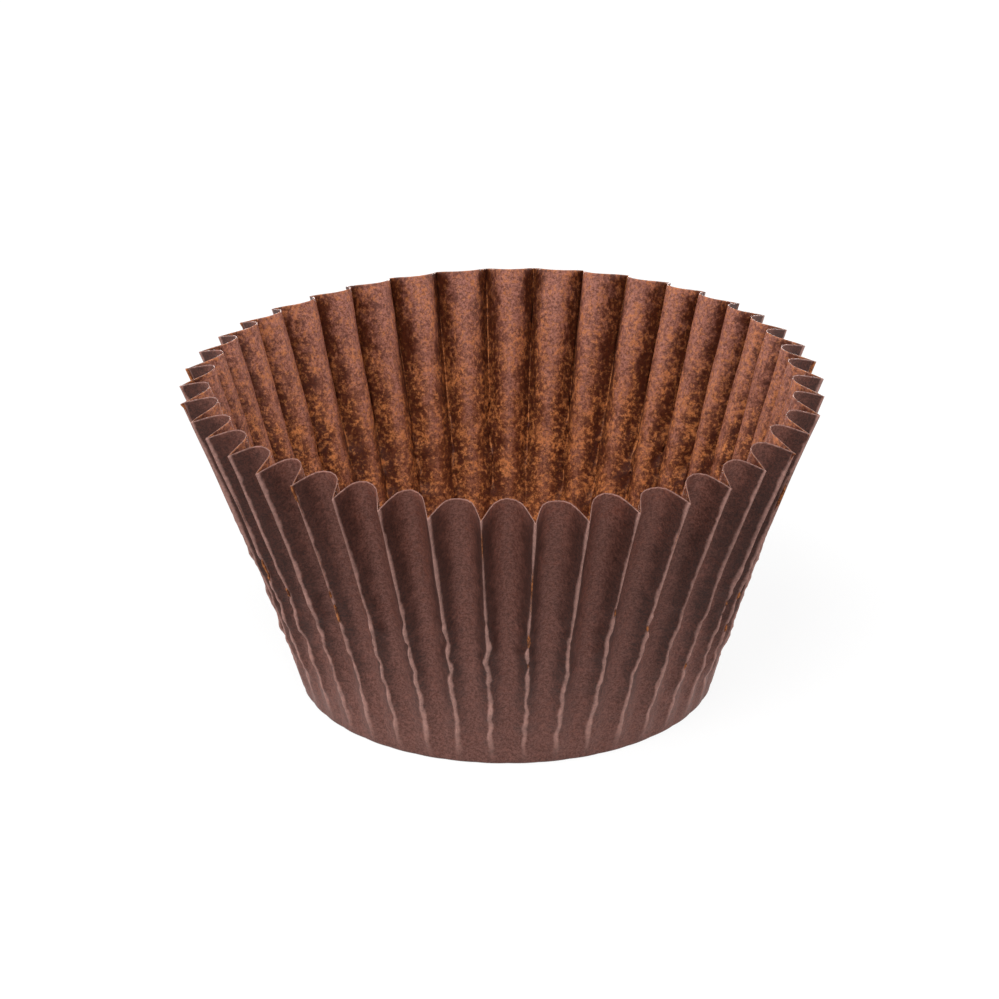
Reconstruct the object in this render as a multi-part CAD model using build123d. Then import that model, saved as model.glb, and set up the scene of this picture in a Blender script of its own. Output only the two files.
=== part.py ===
"""Fluted paper cupcake liner: one round blank of greaseproof paper, pressed into a flat base and a pleated wall.

Millimetres, +Z up. The origin is the centre of the underside of the base, where the liner stands.
Seen from above, each pleat is a sharp fold that points outwards and, between two folds, a rounded trough that
bulges inwards. The sheet keeps one thickness throughout.
"""

from build123d import *
import math
import os

# ---- driving dimensions ----
BASE_DIAMETER = 51.0  # across the bottom edge, where the pleats begin
RIM_DIAMETER = 80.0  # across the outward folds at the rim
WALL_LENGTH = 40.4  # along an outward fold, from the bottom edge to the rim
PLEATS = 42
PLEAT_DEPTH = 3.8  # at the rim, from an outward fold in to the bottom of a trough
TROUGH_RADIUS = 2.0  # at the rim, on the outside of the sheet
BASE_EDGE_RADIUS = 0.5  # on the outside of the sheet, between the base and the wall
PAPER = 0.08

# ---- what follows from them ----
BASE_RADIUS = BASE_DIAMETER / 2
FOLD_RADIUS = RIM_DIAMETER / 2
HALF_PITCH = math.pi / PLEATS  # from the middle of a trough to the fold beside it
FIRST_TROUGH = -math.pi / 2  # the first trough faces -Y
LEAN = math.asin((FOLD_RADIUS - PLEAT_DEPTH / 2 - BASE_RADIUS) / WALL_LENGTH)  # of the mean wall, outwards
DISC_RADIUS = BASE_RADIUS - BASE_EDGE_RADIUS * math.cos(LEAN)  # the flat part of the base
WALL_FOOT = BASE_EDGE_RADIUS * (1 - math.sin(LEAN))  # height at which the wall leaves the rounded edge


def flank_turn():
    """The angle that each flank makes with the bottom of its trough, so that it is tangent to the trough's arc
    and ends on the fold."""
    half_width = FOLD_RADIUS * math.sin(HALF_PITCH)
    rise = PLEAT_DEPTH - FOLD_RADIUS * (1 - math.cos(HALF_PITCH))
    reach = math.hypot(half_width, rise - TROUGH_RADIUS)
    return math.asin(TROUGH_RADIUS / reach) + math.atan2(rise - TROUGH_RADIUS, half_width)


FLANK_TURN = flank_turn()
FOLD_HALF_ANGLE = math.pi / 2 - FLANK_TURN - HALF_PITCH  # between a flank and the radius through its fold
ARC_CENTRE = FOLD_RADIUS - PLEAT_DEPTH + TROUGH_RADIUS  # distance of the trough arc's centre from the axis


def trough_share():
    """The share of a pleat's paper that lies in its rounded trough, the rest being its two flanks."""
    arc = TROUGH_RADIUS * FLANK_TURN
    flank = (FOLD_RADIUS * math.sin(HALF_PITCH) - TROUGH_RADIUS * math.sin(FLANK_TURN)) / math.cos(FLANK_TURN)
    return arc / (arc + flank)


TROUGH_HALF_ANGLE = HALF_PITCH * trough_share()  # what the trough takes of the bottom edge, each side of its middle


def around(radius, angle, height):
    """The point at that distance from the axis, angle about it and height."""
    return Vector(radius * math.cos(angle), radius * math.sin(angle), height)


def on_rim(radius, angle):
    """A point of the rim. The blank is round, so every point of its edge is one wall length from the bottom edge."""
    return around(radius, angle, WALL_FOOT + math.sqrt(WALL_LENGTH**2 - (radius - BASE_RADIUS) ** 2))


def bottom_edge(middle, inset):
    """One pleat's three edges round the wall's foot, on the skin that lies inset inside the outer one."""
    radius = BASE_RADIUS - inset * math.cos(LEAN)
    height = WALL_FOOT + inset * math.sin(LEAN)
    stops = [-HALF_PITCH, -TROUGH_HALF_ANGLE, TROUGH_HALF_ANGLE, HALF_PITCH]
    return [
        Edge.make_three_point_arc(*(around(radius, middle + turn, height) for turn in (a, (a + b) / 2, b)))
        for a, b in zip(stops, stops[1:])
    ]


def rim_edge(middle, inset):
    """One pleat's three edges at the rim: a straight flank, the trough's arc and the other flank."""
    radius = TROUGH_RADIUS + inset
    fold = FOLD_RADIUS - inset / math.sin(FOLD_HALF_ANGLE)
    along = ARC_CENTRE - radius * math.cos(FLANK_TURN)
    across = radius * math.sin(FLANK_TURN)
    turn = math.atan2(across, along)
    tangent = math.hypot(along, across)
    first_fold, last_fold = on_rim(fold, middle - HALF_PITCH), on_rim(fold, middle + HALF_PITCH)
    arc_start, arc_end = on_rim(tangent, middle - turn), on_rim(tangent, middle + turn)
    bottom = on_rim(ARC_CENTRE - radius, middle)
    return [
        Edge.make_line(first_fold, arc_start),
        Edge.make_three_point_arc(arc_start, bottom, arc_end),
        Edge.make_line(arc_end, last_fold),
    ]


def edge_profile(angle, inset):
    """The rounded edge's arc in the plane at that angle, from the flat base up to the wall's foot."""
    radius = BASE_EDGE_RADIUS - inset
    points = []
    for turn in (0, (math.pi / 2 - LEAN) / 2, math.pi / 2 - LEAN):
        points.append(
            around(DISC_RADIUS + radius * math.sin(turn), angle, BASE_EDGE_RADIUS - radius * math.cos(turn))
        )
    return Edge.make_three_point_arc(*points)


def rounded_edge(middle, inset):
    """One pleat's part of the rounded edge round the base, cut where the wall's faces meet it."""
    stops = [-HALF_PITCH, -TROUGH_HALF_ANGLE, TROUGH_HALF_ANGLE, HALF_PITCH]
    return [
        Face.revolve(edge_profile(middle + a, inset), math.degrees(b - a), Axis.Z)
        for a, b in zip(stops, stops[1:])
    ]


def base_disc(middles, inset):
    """The flat base of one skin. Its outline is cut where the rounded edge's faces meet it."""
    stops = [-HALF_PITCH, -TROUGH_HALF_ANGLE, TROUGH_HALF_ANGLE]
    angles = [middle + stop for middle in middles for stop in stops]
    angles.append(angles[0] + 2 * math.pi)
    arcs = [
        Edge.make_three_point_arc(*(around(DISC_RADIUS, turn, inset) for turn in (a, (a + b) / 2, b)))
        for a, b in zip(angles, angles[1:])
    ]
    return Face(Wire(arcs))


def ruled(lower, upper):
    """Faces of straight lines from each edge of one row to its partner in the other."""
    return [Face.make_surface_from_curves(a, b) for a, b in zip(lower, upper)]


def liner():
    middles = [FIRST_TROUGH + 2 * HALF_PITCH * i for i in range(PLEATS)]
    faces = [base_disc(middles, 0), base_disc(middles, PAPER)]
    for middle in middles:
        for inset in (0, PAPER):
            faces += rounded_edge(middle, inset)
            faces += ruled(bottom_edge(middle, inset), rim_edge(middle, inset))
        faces += ruled(rim_edge(middle, 0), rim_edge(middle, PAPER))
    return Solid(Shell(Face.sew_faces(faces)[0]))


os.makedirs("parts", exist_ok=True)
export_step(liner(), "parts/paper_liner.step")
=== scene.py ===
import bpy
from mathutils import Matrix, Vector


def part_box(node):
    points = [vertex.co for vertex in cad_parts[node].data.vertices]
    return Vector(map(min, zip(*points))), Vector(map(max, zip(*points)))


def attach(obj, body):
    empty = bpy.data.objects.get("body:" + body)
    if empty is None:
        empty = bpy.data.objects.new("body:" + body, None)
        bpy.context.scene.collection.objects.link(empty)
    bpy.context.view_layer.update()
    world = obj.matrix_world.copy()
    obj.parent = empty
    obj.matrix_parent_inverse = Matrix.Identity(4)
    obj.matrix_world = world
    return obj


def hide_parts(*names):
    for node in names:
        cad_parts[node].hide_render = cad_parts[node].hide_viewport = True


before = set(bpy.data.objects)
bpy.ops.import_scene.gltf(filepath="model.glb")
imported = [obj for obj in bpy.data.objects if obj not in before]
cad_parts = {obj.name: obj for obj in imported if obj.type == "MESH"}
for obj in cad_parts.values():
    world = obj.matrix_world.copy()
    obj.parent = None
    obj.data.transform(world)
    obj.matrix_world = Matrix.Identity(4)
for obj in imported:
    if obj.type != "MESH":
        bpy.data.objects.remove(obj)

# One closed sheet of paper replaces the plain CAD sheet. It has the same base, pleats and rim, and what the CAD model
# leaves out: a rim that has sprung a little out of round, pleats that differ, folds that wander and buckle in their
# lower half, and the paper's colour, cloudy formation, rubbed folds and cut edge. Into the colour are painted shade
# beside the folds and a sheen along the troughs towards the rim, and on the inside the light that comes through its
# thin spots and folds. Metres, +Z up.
"""The looks of a pleated cupcake liner of brown greaseproof paper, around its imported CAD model.

One closed sheet of paper replaces the plain CAD sheet. It has the same base, pleats and rim, and what the CAD
model leaves out: a rim that has sprung a little out of round, pleats that differ, folds that wander and buckle
in their lower half, and the paper's own colour, cloudy formation, worn folds and cut edge. Metres, +Z up.
"""

import math

import bpy
import numpy as np
from mathutils import Quaternion, Vector, noise

MM = 0.001
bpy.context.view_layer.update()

# ---- the sheet, as in the CAD model ----
NODE = "paper_liner"
FOLD_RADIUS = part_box(NODE)[1].x  # of the outward folds at the rim
PLEATS = 42
BASE_RADIUS = 25.5 * MM
WALL_LENGTH = 40.4 * MM
PLEAT_DEPTH = 3.8 * MM
TROUGH_RADIUS = 2.0 * MM
BASE_EDGE_RADIUS = 0.5 * MM
PAPER = 0.08 * MM
HALF_PITCH = math.pi / PLEATS
LEAN = math.asin((FOLD_RADIUS - PLEAT_DEPTH / 2 - BASE_RADIUS) / WALL_LENGTH)
DISC_RADIUS = BASE_RADIUS - BASE_EDGE_RADIUS * math.cos(LEAN)
WALL_FOOT = BASE_EDGE_RADIUS * (1 - math.sin(LEAN))

# ---- what the real sheet adds ----
SEED = 7
OVAL = 1.4 * MM  # how far the rim has sprung out of round, deeper from front to back
THREE_SIDED = 0.6 * MM
BOW = 0.5 * MM  # the wall is hollow by this much at half its height
CRINKLE_TOP = 0.62  # the share of the wall below which its folds wander and buckle

# ---- the mesh ----
FOLD_TO_TROUGH = (0.0, 0.04, 0.14, 0.32, 0.5, 0.67, 0.83, 1.0)  # shares of the paper, close together at the fold
COLUMNS = PLEATS * 2 * (len(FOLD_TO_TROUGH) - 1)
FINE_ROWS = 58  # up to CRINKLE_TOP
COARSE_ROWS = 18  # from there to the rim


# ---------------------------------------------------------------- shape

def rim_profile(share):
    """A point of one pleat's cross-section at the rim: how far out it lies, and how far round from the trough's
    middle. share is how much of the paper lies between that middle and the point."""
    half_width = FOLD_RADIUS * math.sin(HALF_PITCH)
    rise = PLEAT_DEPTH - FOLD_RADIUS * (1 - math.cos(HALF_PITCH))
    turn = math.asin(TROUGH_RADIUS / math.hypot(half_width, rise - TROUGH_RADIUS))
    turn += math.atan2(rise - TROUGH_RADIUS, half_width)
    arc = TROUGH_RADIUS * turn
    flank = (half_width - TROUGH_RADIUS * math.sin(turn)) / math.cos(turn)
    along = share * (arc + flank)
    bend = min(along / TROUGH_RADIUS, turn)
    past = max(along - arc, 0)
    out = FOLD_RADIUS - PLEAT_DEPTH + TROUGH_RADIUS * (1 - math.cos(bend)) + past * math.sin(turn)
    across = TROUGH_RADIUS * math.sin(bend) + past * math.cos(turn)
    return math.hypot(out, across), math.atan2(across, out)


def smooth(low, high, value):
    t = np.clip((value - low) / (high - low), 0, 1)
    return t * t * (3 - 2 * t)


def zigzag(rng, heights, step, reach):
    """A line that wanders to and fro, bent at uneven steps, at each of the heights."""
    knots = np.cumsum(rng.uniform(0.6, 1.4, 60) * step) - step
    sides = np.where(np.arange(60) % 2, 1, -1) * rng.uniform(0.2, 1, 60)
    sides *= np.where(rng.random(60) < 0.25, -0.6, 1)
    return np.interp(heights, knots, sides) * reach


def round_noise(rng, points, waves):
    """Smooth variation round the rim, with no jump where it closes."""
    angle = np.linspace(0, 2 * math.pi, points, endpoint=False)
    total = np.zeros(points)
    for wave in waves:
        total += rng.normal() * np.cos(wave * angle) + rng.normal() * np.sin(wave * angle)
    return total / math.sqrt(len(waves))


def wall_heights():
    """The rows' places up the wall, from 0 at the bottom edge to 1 at the rim."""
    fine = np.linspace(0, CRINKLE_TOP, FINE_ROWS, endpoint=False)
    coarse = np.linspace(CRINKLE_TOP, 1, COARSE_ROWS)
    coarse = np.append(coarse[:-1], [1 - 0.2 * MM / WALL_LENGTH, 1])
    return np.concatenate([fine, coarse])


def column_shares():
    """For each column round the liner: its pleat, counted from fold to fold, its place in that pleat from 0 to 1,
    and its share of the paper from the trough's middle out to the nearer fold."""
    half = np.array(FOLD_TO_TROUGH)
    places = np.concatenate([half[:-1] / 2, 1 - half[:0:-1] / 2])
    pleat = np.repeat(np.arange(PLEATS), len(places))
    place = np.tile(places, PLEATS)
    return pleat, place, np.abs(2 * place - 1)


def wall_points(heights):
    """The outer skin of the pleated wall: rows x columns x 3."""
    rng = np.random.default_rng(SEED)
    pleat, place, share = column_shares()
    profile = np.array([rim_profile(s) for s in share])
    side = np.sign(2 * place - 1)
    first_trough = -math.pi / 2
    middle = first_trough + 2 * HALF_PITCH * pleat
    w = heights[:, None]

    # folds and troughs that differ from pleat to pleat, more towards the rim
    compass = 2 * HALF_PITCH * (np.arange(PLEATS) - 0.5)
    fold_turn = 0.8 - np.cos(2 * compass) - 0.7 * np.sin(3 * compass) + 0.3 * np.cos(3 * compass)
    fold_turn = np.radians(fold_turn + 0.25 * rng.normal(size=PLEATS))
    fold_out = 0.12 * MM * rng.normal(size=PLEATS)
    trough_turn = np.radians(0.35) * rng.normal(size=PLEATS)
    trough_out = 0.2 * MM * rng.normal(size=PLEATS)
    trough_turn += (fold_turn + np.roll(fold_turn, -1)) / 2
    near = np.where(side < 0, fold_turn[pleat], np.roll(fold_turn, -1)[pleat])
    near_out = np.where(side < 0, fold_out[pleat], np.roll(fold_out, -1)[pleat])
    turn = near * share + trough_turn[pleat] * (1 - share)
    out = near_out * share**2 + trough_out[pleat] * (1 - share) ** 2

    # the ruled wall, from the round bottom edge to the pleated rim
    rim_angle = middle + side * profile[:, 1] + turn
    round_radius = profile[:, 0] + out
    compass = rim_angle - first_trough
    sprung = OVAL * np.cos(2 * compass) + THREE_SIDED * np.sin(3 * compass + 0.46)
    foot_angle = middle + side * share * HALF_PITCH + turn * 0.5
    foot_radius = BASE_RADIUS - 0.12 * MM * (1 - share) ** 2
    angle = foot_angle * (1 - w) + rim_angle * w
    radius = foot_radius * (1 - w) + (round_radius + sprung) * w - BOW * 4 * w * (1 - w)

    # folds that wander and buckle in their lower half
    up = heights * WALL_LENGTH / MM
    crinkled = smooth(CRINKLE_TOP, CRINKLE_TOP - 0.16, heights) * smooth(-0.03, 0.14, heights)
    grip = np.exp(-(((1 - share) / 0.42) ** 2))
    wander = np.stack([zigzag(rng, up, 2.1, 0.21) for _ in range(PLEATS)], -1)
    wander += np.stack([zigzag(rng, up, 6.5, 0.16) for _ in range(PLEATS)], -1)
    wander += np.stack([zigzag(rng, up, 1.0, 0.06) for _ in range(PLEATS)], -1)
    buckle = np.stack([zigzag(rng, up, 2.6, 0.2) for _ in range(PLEATS)], -1)
    fold = np.where(side < 0, pleat, (pleat + 1) % PLEATS)
    angle = angle + wander[:, fold] * MM / radius * grip * crinkled[:, None]
    radius = radius + buckle[:, fold] * MM * grip * crinkled[:, None]

    # every point of the cut edge is one wall length from the bottom edge
    length = WALL_LENGTH * (1 + 0.0018 * round_noise(rng, COLUMNS, (1, 2, 3, 5)))
    reach = round_radius - foot_radius
    rise = np.sqrt(length**2 - reach**2)
    height = WALL_FOOT + rise * w
    return np.stack([radius * np.cos(angle), radius * np.sin(angle), height + 0 * radius], -1)


def dented(points, heights):
    """The wall with the small dents and soft waves of pressed paper."""
    normals = grid_normals(points)
    pleat, place, share = column_shares()
    lower = smooth(CRINKLE_TOP + 0.06, CRINKLE_TOP - 0.12, heights) * smooth(0, 0.12, heights)
    moved = points.copy()
    for row, height in enumerate(heights):
        for column in range(COLUMNS):
            x, y, z = points[row, column] / MM
            around = math.atan2(y, x) * 34
            small = noise.noise(Vector((around * 0.95, z * 0.55, 3.1)))
            tiny = noise.noise(Vector((around * 2.1, z * 1.5, 8.7)))
            slow = noise.noise(Vector((around * 0.22, z * 0.16, 5.3)))
            by_fold = 0.35 + 0.65 * share[column]
            amount = lower[row] * by_fold * (0.26 * small + 0.13 * tiny) + (0.05 + 0.12 * height) * slow
            moved[row, column] += normals[row, column] * amount * MM
    return moved


def base_rings(foot):
    """The rounded edge and the flat base, from the wall's foot to the middle, as rows of fewer and fewer columns."""
    rings = []
    directions = foot[:, :2] / np.linalg.norm(foot[:, :2], axis=1)[:, None]
    outward = np.linalg.norm(foot[:, :2], axis=1) - BASE_RADIUS
    for part in (0.66, 0.33, 0.0):
        bend = part * (math.pi / 2 - LEAN)
        radius = DISC_RADIUS + BASE_EDGE_RADIUS * math.sin(bend) + outward * (0.5 + part / 2)
        height = BASE_EDGE_RADIUS * (1 - math.cos(bend))
        rings.append(np.column_stack([directions * radius[:, None], np.full(len(foot), height)]))
    share = column_shares()[2]
    for radius, every in ((24.5, 1), (23.6, 1), (22.0, 2), (19.0, 2), (15.0, 2), (10.5, 4), (6.0, 4), (2.0, 4)):
        flat = directions[::every] * radius * MM
        crease = 0.05 * smooth(22.5, 24.5, radius) * share[::every] ** 6
        soft = [noise.noise(Vector((x / MM * 0.11, y / MM * 0.11, 1.7))) for x, y in flat]
        lift = (0.02 + crease + 0.1 * np.abs(soft) * smooth(24.8, 20, radius)) * MM
        rings.append(np.column_stack([flat, lift]))
    return rings


def grid_normals(points):
    """Unit normals of a grid of points that closes on itself along its columns, pointing outwards."""
    across = np.roll(points, -1, 1) - np.roll(points, 1, 1)
    ahead = np.roll(points, -1, 1) - points
    behind = points - np.roll(points, 1, 1)
    across = ahead / np.linalg.norm(ahead, axis=-1, keepdims=True)
    across += behind / np.linalg.norm(behind, axis=-1, keepdims=True)
    upward = np.gradient(points, axis=0)
    normals = np.cross(across, upward)
    return normals / np.linalg.norm(normals, axis=-1, keepdims=True)


def skin_faces(rings):
    """Faces between rows of columns, where a row may have half the columns of the one before it, and a cap."""
    faces = []
    starts = np.cumsum([0] + [len(r) for r in rings])
    for i, (above, below) in enumerate(zip(rings, rings[1:])):
        a, b = starts[i], starts[i + 1]
        n = len(above)
        every = n // len(below)
        for j in range(len(below)):
            top = [a + (j * every + k) % n for k in range(every + 1)]
            faces.append([*top, b + (j + 1) % len(below), b + j])
    last = starts[-2]
    faces.append([last + j for j in range(len(rings[-1]))])
    return faces


def make_sheet():
    """The liner as one closed sheet. Each corner keeps where it lies on the paper: pleats round, and millimetres
    up from the bottom edge. Material 0 is the outside, 1 the inside and 2 the cut edge."""
    heights = wall_heights()
    wall = dented(wall_points(heights), heights)
    rings = list(wall[::-1]) + base_rings(wall[0])
    outer = np.concatenate(rings)
    faces = skin_faces(rings)

    mesh = bpy.data.meshes.new("paper_liner_sheet")
    mesh.from_pydata(outer.tolist(), [], [f[::-1] for f in faces])
    mesh.update()
    normals = np.array([n.vector for n in mesh.vertex_normals])
    face_normals = np.array([p.normal for p in mesh.polygons])
    widest = np.ones(len(outer))
    for face, normal in zip(mesh.polygons, face_normals):
        for v in face.vertices:
            widest[v] = min(widest[v], float(normals[v] @ normal))
    inner = outer - normals * (PAPER / np.clip(widest, 0.55, 1))[:, None]

    n = len(outer)
    edge = [[j, (j + 1) % COLUMNS, n + (j + 1) % COLUMNS, n + j] for j in range(COLUMNS)]
    outside = [f[::-1] for f in faces]
    inside = [[v + n for v in f] for f in faces]
    mesh.clear_geometry()
    mesh.from_pydata(np.concatenate([outer, inner]).tolist(), [], outside + inside + edge)
    mesh.update()

    pleat, place, share = column_shares()
    round_pleats = pleat + place
    layer = mesh.uv_layers.new(name="paper")
    starts = np.cumsum([0] + [len(r) for r in rings])
    radii = np.linalg.norm(outer[:, :2], axis=1)
    up = np.zeros(n)
    u = np.zeros(n)
    for i, ring in enumerate(rings):
        at = slice(starts[i], starts[i + 1])
        u[at] = round_pleats[:: COLUMNS // len(ring)]
        if i < len(heights):
            up[at] = heights[::-1][i] * WALL_LENGTH / MM
        else:
            up[at] = (radii[at] - BASE_RADIUS) / MM
    where = np.zeros((len(mesh.loops), 2))
    for face in mesh.polygons:
        corners = np.array(face.vertices) % n
        us = u[corners]
        if us.max() - us.min() > PLEATS / 2:
            us = np.where(us < PLEATS / 2, us + PLEATS, us)
        where[face.loop_start : face.loop_start + face.loop_total, 0] = us
        where[face.loop_start : face.loop_start + face.loop_total, 1] = up[corners]
    layer.data.foreach_set("uv", where.astype(np.float32).ravel())
    kinds = [0] * len(outside) + [1] * len(inside) + [2] * len(edge)
    mesh.polygons.foreach_set("material_index", kinds)
    mesh.polygons.foreach_set("use_smooth", [k != 2 for k in kinds])
    mesh.update()
    sheet = bpy.data.objects.new("paper_liner_sheet", mesh)
    bpy.context.scene.collection.objects.link(sheet)
    return sheet


# ---------------------------------------------------------------- paper

class Nodes:
    """Short ways to add and join the nodes of one material."""

    def __init__(self, name):
        self.material = bpy.data.materials.new(name)
        self.material.use_nodes = True
        self.tree = self.material.node_tree
        self.tree.nodes.clear()

    def add(self, kind, inputs=None, **settings):
        node = self.tree.nodes.new(kind)
        for key, value in settings.items():
            setattr(node, key, value)
        for key, value in (inputs or {}).items():
            socket = node.inputs[key]
            if isinstance(value, bpy.types.NodeSocket):
                self.tree.links.new(value, socket)
            else:
                socket.default_value = value
        return node

    def math(self, operation, *values, clamp=False):
        return self.add("ShaderNodeMath", dict(enumerate(values)), operation=operation, use_clamp=clamp).outputs[0]

    def ramp(self, value, low, high, to_low=0.0, to_high=1.0):
        inputs = {"Value": value, "From Min": low, "From Max": high, "To Min": to_low, "To Max": to_high}
        return self.add("ShaderNodeMapRange", inputs, interpolation_type="SMOOTHSTEP").outputs[0]

    def noise(self, where, scale, detail, roughness=0.5):
        inputs = {"Vector": where, "Scale": scale, "Detail": detail, "Roughness": roughness}
        return self.add("ShaderNodeTexNoise", inputs).outputs["Fac"]

    def blend(self, share, a, b):
        node = self.add("ShaderNodeMix", {"Factor": share}, data_type="RGBA")
        for socket, colour in ((node.inputs[6], a), (node.inputs[7], b)):
            if isinstance(colour, bpy.types.NodeSocket):
                self.tree.links.new(colour, socket)
            else:
                socket.default_value = colour
        return node.outputs[2]


def colour(red, green, blue):
    """A colour as it is seen on a screen, from 0 to 255, as the linear colour that a shader takes."""
    return (*(((c / 255 + 0.055) / 1.055) ** 2.4 for c in (red, green, blue)), 1)


def make_paper(name, trough, crest, flank, ragged, wear_and_glow_colour, wear_and_glow_width, wear_and_glow_least, thin_spot_glow, painted_glow, glow):
    """Greaseproof paper. trough, crest and flank are the darkest and lightest colours of its formation in a trough, of
    the painted sheen along the trough's middle and near the rim, and of the painted shade beside a fold, and ragged is
    how unevenly they meet. worn is the colour of its folds, rubbed paper outside and painted light through the fold
    inside, wear_and_glow_width their half width in millimetres and wear_and_glow_least how much is left of them where
    they show least. fleck is the colour of light through its thin spots, flecked how much of it is painted into the
    colour, and glow how much light comes through."""
    n = Nodes(name)
    place = n.add("ShaderNodeTexCoord").outputs["Object"]
    paper = n.add("ShaderNodeUVMap", uv_map="paper").outputs["UV"]
    parts = n.add("ShaderNodeSeparateXYZ", {"Vector": paper}).outputs
    around, up = parts["X"], parts["Y"]

    # from 0 on a fold to 1 in the middle of a trough, and how far it is to the fold in millimetres along the paper
    to_middle = n.math("MULTIPLY", n.math("PINGPONG", around, 0.5), 2.0)
    half_paper = n.ramp(up, 0, WALL_LENGTH / MM, BASE_RADIUS * HALF_PITCH / MM, 4.6)
    half_paper.node.interpolation_type = "LINEAR"
    to_fold = n.math("MULTIPLY", to_middle, half_paper)
    grain = n.noise(place, 4800, 3, 0.75)
    cloud = n.noise(place, 2600, 4, 0.75)
    spots = n.noise(place, 1700, 5, 0.8)
    dents = n.noise(place, 620, 2, 0.6)
    drift = n.noise(place, 280, 3, 0.6)

    # The fold lines, coloured worn: rubbed paper on the outside, and on the inside a thin line of painted light coming
    # through the fold. Near the rim the cut edge is rubbed too.
    width = n.math("MULTIPLY", n.ramp(drift, 0.3, 0.7, 0.7, 1.25), n.ramp(dents, 0.3, 0.7, 0.8, 1.2))
    width = n.math("MULTIPLY", width, wear_and_glow_width)
    fold = n.math("SUBTRACT", 1.0, n.math("DIVIDE", to_fold, width), clamp=True)
    fold = n.math("MULTIPLY", n.ramp(fold, 0, 0.75), n.ramp(up, -0.4, 5.0, 0.0, 1.0))
    fold = n.math("MULTIPLY", fold, n.ramp(spots, 0.42, 0.58, wear_and_glow_least, 1.0))
    edge = n.ramp(up, WALL_LENGTH / MM - 0.16, WALL_LENGTH / MM - 0.03)
    edge = n.math("MULTIPLY", edge, n.ramp(spots, 0.4, 0.6, 0.05, 0.45))
    wear_and_glow_share = n.math("MAXIMUM", n.math("MULTIPLY", fold, 0.85), edge)

    # Painted shade: the flank colours darken the paper beside each fold, where the folds shade it, growing from the
    # bottom edge to full at 17 mm up the wall.
    strays = n.math("ADD", n.ramp(drift, 0.3, 0.7, -0.12, 0.12), n.ramp(dents, 0.3, 0.7, -0.16, 0.16))
    strays = n.math("ADD", strays, n.ramp(spots, 0.35, 0.65, -0.12, 0.12))
    uneven = n.math("ADD", to_middle, n.math("MULTIPLY", strays, ragged))
    beside = n.ramp(uneven, 0.25, 0.85, 1.0, 0.0)
    beside = n.math("MULTIPLY", beside, n.ramp(up, 0, 17))
    formation = n.math("ADD", n.math("MULTIPLY", cloud, 0.5), n.math("MULTIPLY", grain, 0.5))
    formation = n.ramp(formation, 0.41, 0.59)
    # Painted sheen: the lighter mauve crest colours fill the middle of each trough, more towards the rim, and the whole
    # wall near the rim.
    top = n.math("MULTIPLY", n.ramp(uneven, 0.6, 1.0), n.ramp(up, 8, 30, 0.15, 0.8))
    top = n.math("MAXIMUM", top, n.ramp(up, 20, 40, 0.0, 0.9))
    middle = n.blend(top, n.blend(formation, *trough), n.blend(formation, *crest))
    body = n.blend(beside, middle, n.blend(formation, *flank))
    # Thin spots: fleck is mixed into the colour by flecked, as painted light coming through the paper, less in the
    # painted shade beside the folds and in the painted sheen. The same spots let real light through the Translucent
    # shader below.
    thin = n.math("ADD", n.math("MULTIPLY", spots, 0.75), n.math("MULTIPLY", drift, 0.25))
    thin = n.ramp(thin, 0.48, 0.62)
    shown = n.math("MULTIPLY", n.math("MULTIPLY", thin, painted_glow), n.ramp(beside, 0, 1, 1.0, 0.6))
    shown = n.math("MULTIPLY", shown, n.ramp(top, 0, 0.9, 1.0, 0.5))
    body = n.blend(shown, body, thin_spot_glow)
    body = n.blend(wear_and_glow_share, body, wear_and_glow_colour)

    relief = n.math("ADD", n.math("MULTIPLY", grain, 0.6), n.math("MULTIPLY", cloud, 0.4))
    bump = n.add("ShaderNodeBump", {"Height": relief, "Strength": 0.7, "Distance": 0.00006}).outputs[0]
    rough = n.ramp(cloud, 0.3, 0.7, 0.52, 0.64)
    # The gloss is kept low, and the paper's sheen is painted into the colour instead.
    skin = n.add(
        "ShaderNodeBsdfPrincipled", {"Base Color": body, "Roughness": rough, "Normal": bump, "Specular IOR Level": 0.25}
    )
    lit_through = n.add("ShaderNodeBsdfTranslucent", {"Color": thin_spot_glow, "Normal": bump})
    through = n.ramp(thin, 0, 1, 0.3 * glow, glow)
    mixed = n.add("ShaderNodeMixShader", {0: through, 1: skin.outputs[0], 2: lit_through.outputs[0]})
    n.add("ShaderNodeOutputMaterial", {"Surface": mixed.outputs[0]})
    return n.material


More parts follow.
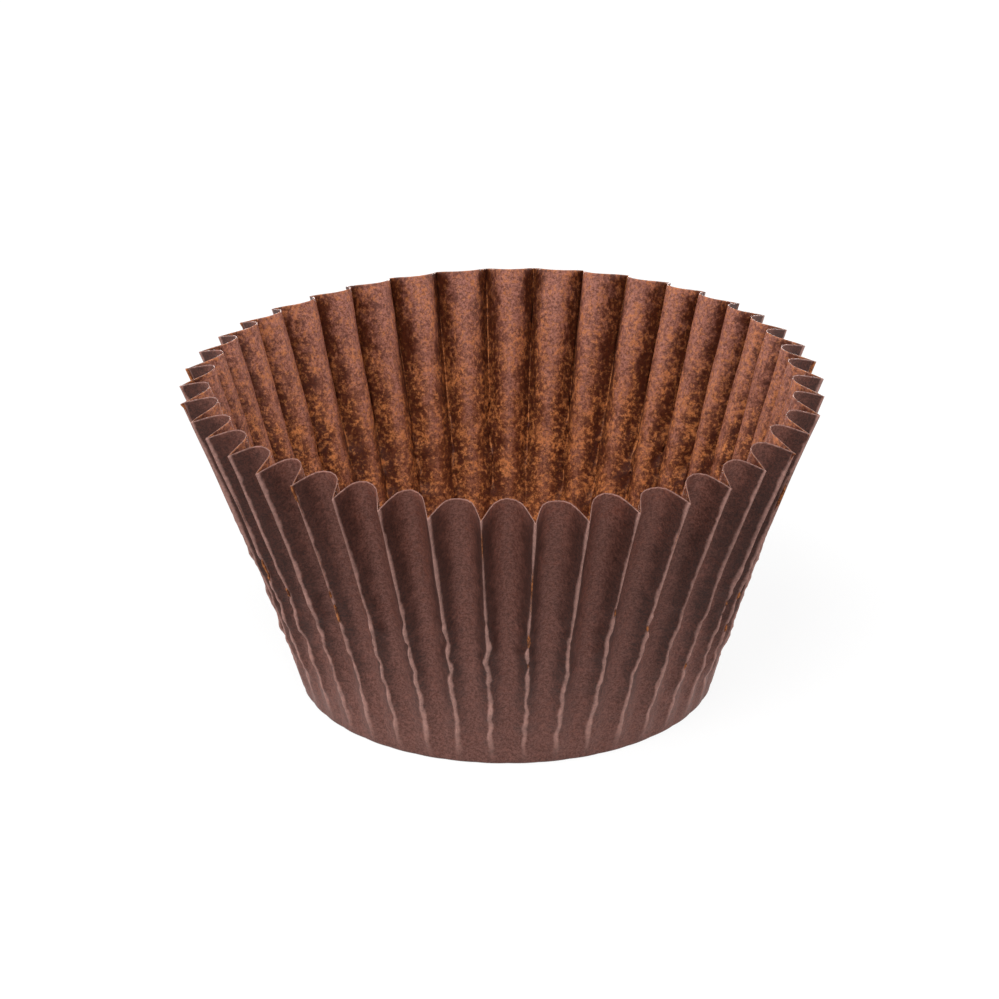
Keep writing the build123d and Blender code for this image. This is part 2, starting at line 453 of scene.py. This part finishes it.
def paper_materials():
    # The outside and the inside are one paper, coloured apart for the light on them: the outside's mauve-brown holds a
    # painted sheen, and the inside's orange spots and fold lines are painted light that comes through the paper.
    thin_spot_glow = colour(236, 150, 88)
    outside = make_paper(
        "paper_outside",
        trough=(colour(80, 47, 39), colour(122, 81, 72)),
        # crest holds a painted sheen, and flank a painted shade beside the folds.
        crest=(colour(78, 43, 34), colour(120, 77, 66)),
        flank=(colour(42, 19, 13), colour(74, 41, 33)),
        ragged=0.5,
        wear_and_glow_colour=colour(176, 133, 122),
        wear_and_glow_width=0.5,
        wear_and_glow_least=0.65,
        thin_spot_glow=thin_spot_glow,
        painted_glow=0.0,
        glow=0.1,
    )
    inside = make_paper(
        "paper_inside",
        trough=(colour(66, 24, 8), colour(132, 74, 44)),
        # crest holds a painted sheen, flank a painted shade beside the folds, and worn an orange line of painted light
        # through the folds.
        crest=(colour(92, 48, 36), colour(158, 104, 90)),
        flank=(colour(46, 14, 3), colour(78, 31, 11)),
        ragged=1.0,
        wear_and_glow_colour=colour(190, 118, 66),
        wear_and_glow_width=0.24,
        wear_and_glow_least=0.05,
        thin_spot_glow=thin_spot_glow,
        painted_glow=0.8,
        glow=0.3,
    )
    edge = make_paper(
        "paper_edge",
        trough=(colour(96, 66, 58), colour(134, 100, 90)),
        crest=(colour(96, 66, 58), colour(134, 100, 90)),
        flank=(colour(96, 66, 58), colour(134, 100, 90)),
        ragged=0.5,
        wear_and_glow_colour=colour(134, 100, 90),
        wear_and_glow_width=0.24,
        wear_and_glow_least=0.05,
        thin_spot_glow=thin_spot_glow,
        painted_glow=0.0,
        glow=0.1,
    )
    return outside, inside, edge


# ---------------------------------------------------------------- stage

def make_floor():
    """A plain pale floor. The camera sees it as white, darkened where the liner shades it."""
    mesh = bpy.data.meshes.new("floor")
    half = 3.0
    mesh.from_pydata([(-half, -half, 0), (half, -half, 0), (half, half, 0), (-half, half, 0)], [], [(0, 1, 2, 3)])
    floor = bpy.data.objects.new("floor", mesh)
    bpy.context.scene.collection.objects.link(floor)
    n = Nodes("floor")
    path = n.add("ShaderNodeLightPath").outputs
    seen = n.math("MAXIMUM", path["Is Camera Ray"], path["Is Glossy Ray"])
    matte = n.add("ShaderNodeBsdfDiffuse", {"Color": n.blend(seen, (0.4, 0.4, 0.4, 1), (0.95, 0.95, 0.95, 1))})
    white = n.add("ShaderNodeEmission", {"Color": (1, 1, 1, 1), "Strength": 1.0})
    share = n.math("MULTIPLY", seen, 0.88)
    mixed = n.add("ShaderNodeMixShader", {0: share, 1: matte.outputs[0], 2: white.outputs[0]})
    n.add("ShaderNodeOutputMaterial", {"Surface": mixed.outputs[0]})
    mesh.materials.append(n.material)


def make_world():
    """Soft light from all round, white where it is seen or mirrored."""
    world = bpy.data.worlds.new("studio")
    world.use_nodes = True
    bpy.context.scene.world = world
    tree = world.node_tree
    back = tree.nodes["Background"]
    path = tree.nodes.new("ShaderNodeLightPath")
    seen = tree.nodes.new("ShaderNodeMath")
    seen.operation = "MAXIMUM"
    tree.links.new(path.outputs["Is Camera Ray"], seen.inputs[0])
    tree.links.new(path.outputs["Is Transmission Ray"], seen.inputs[1])
    also = tree.nodes.new("ShaderNodeMath")
    also.operation = "MAXIMUM"
    tree.links.new(seen.outputs[0], also.inputs[0])
    tree.links.new(path.outputs["Is Glossy Ray"], also.inputs[1])
    level = tree.nodes.new("ShaderNodeMapRange")
    tree.links.new(also.outputs[0], level.inputs["Value"])
    level.inputs["To Min"].default_value = 0.15
    level.inputs["To Max"].default_value = 1.0
    tree.links.new(level.outputs[0], back.inputs["Strength"])
    back.inputs["Color"].default_value = (1, 1, 1, 1)


def add_lamp(name, place, target, size, power):
    """A soft rectangular lamp, size (wide, high), aimed at target."""
    lamp = bpy.data.lights.new(name, "AREA")
    lamp.shape = "RECTANGLE"
    lamp.size, lamp.size_y = size
    lamp.energy = power
    lamp_object = bpy.data.objects.new(name, lamp)
    bpy.context.scene.collection.objects.link(lamp_object)
    lamp_object.location = place
    lamp_object.rotation_euler = (Vector(target) - Vector(place)).to_track_quat("-Z", "Y").to_euler()
    lamp_object.visible_camera = False


def make_lamps():
    middle = (0, 0, 0.02)
    add_lamp("key", (-0.12, -0.38, 0.6), middle, (0.34, 0.34), 5.0)
    add_lamp("left", (-0.6, 0.0, 0.3), middle, (0.4, 0.3), 3.0)
    add_lamp("right", (0.6, 0.0, 0.3), middle, (0.4, 0.3), 2.6)
    add_lamp("front", (0.1, -0.7, 0.25), middle, (0.5, 0.3), 1.5)
    add_lamp("back", (0.0, 0.6, 0.06), middle, (0.7, 0.12), 5.0)


def make_camera():
    """A long lens, a little above the liner, level with its front."""
    distance, elevation = 0.4464, math.radians(23.8)
    sensor, lens, roll = 36.0, 131.9, math.radians(-0.13)
    middle = Vector((-0.0003, 0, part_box(NODE)[1].z * 0.485))
    camera = bpy.data.cameras.new("camera")
    camera.sensor_width = sensor
    camera.lens = lens
    camera.clip_start, camera.clip_end = 0.01, 20
    view = bpy.data.objects.new("camera", camera)
    bpy.context.scene.collection.objects.link(view)
    view.location = middle + distance * Vector((0, -math.cos(elevation), math.sin(elevation)))
    aim = Vector((-0.0009, 0, 0.0230))
    view.rotation_mode = "QUATERNION"
    track = (aim - view.location).to_track_quat("-Z", "Y")
    view.rotation_quaternion = track @ Quaternion((0, 0, 1), roll)
    bpy.context.scene.camera = view


liner = make_sheet()
for material in paper_materials():
    liner.data.materials.append(material)
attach(liner, "root")
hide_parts(NODE)
make_floor()
make_world()
make_lamps()
make_camera()
bpy.context.scene.view_settings.view_transform = "Standard"
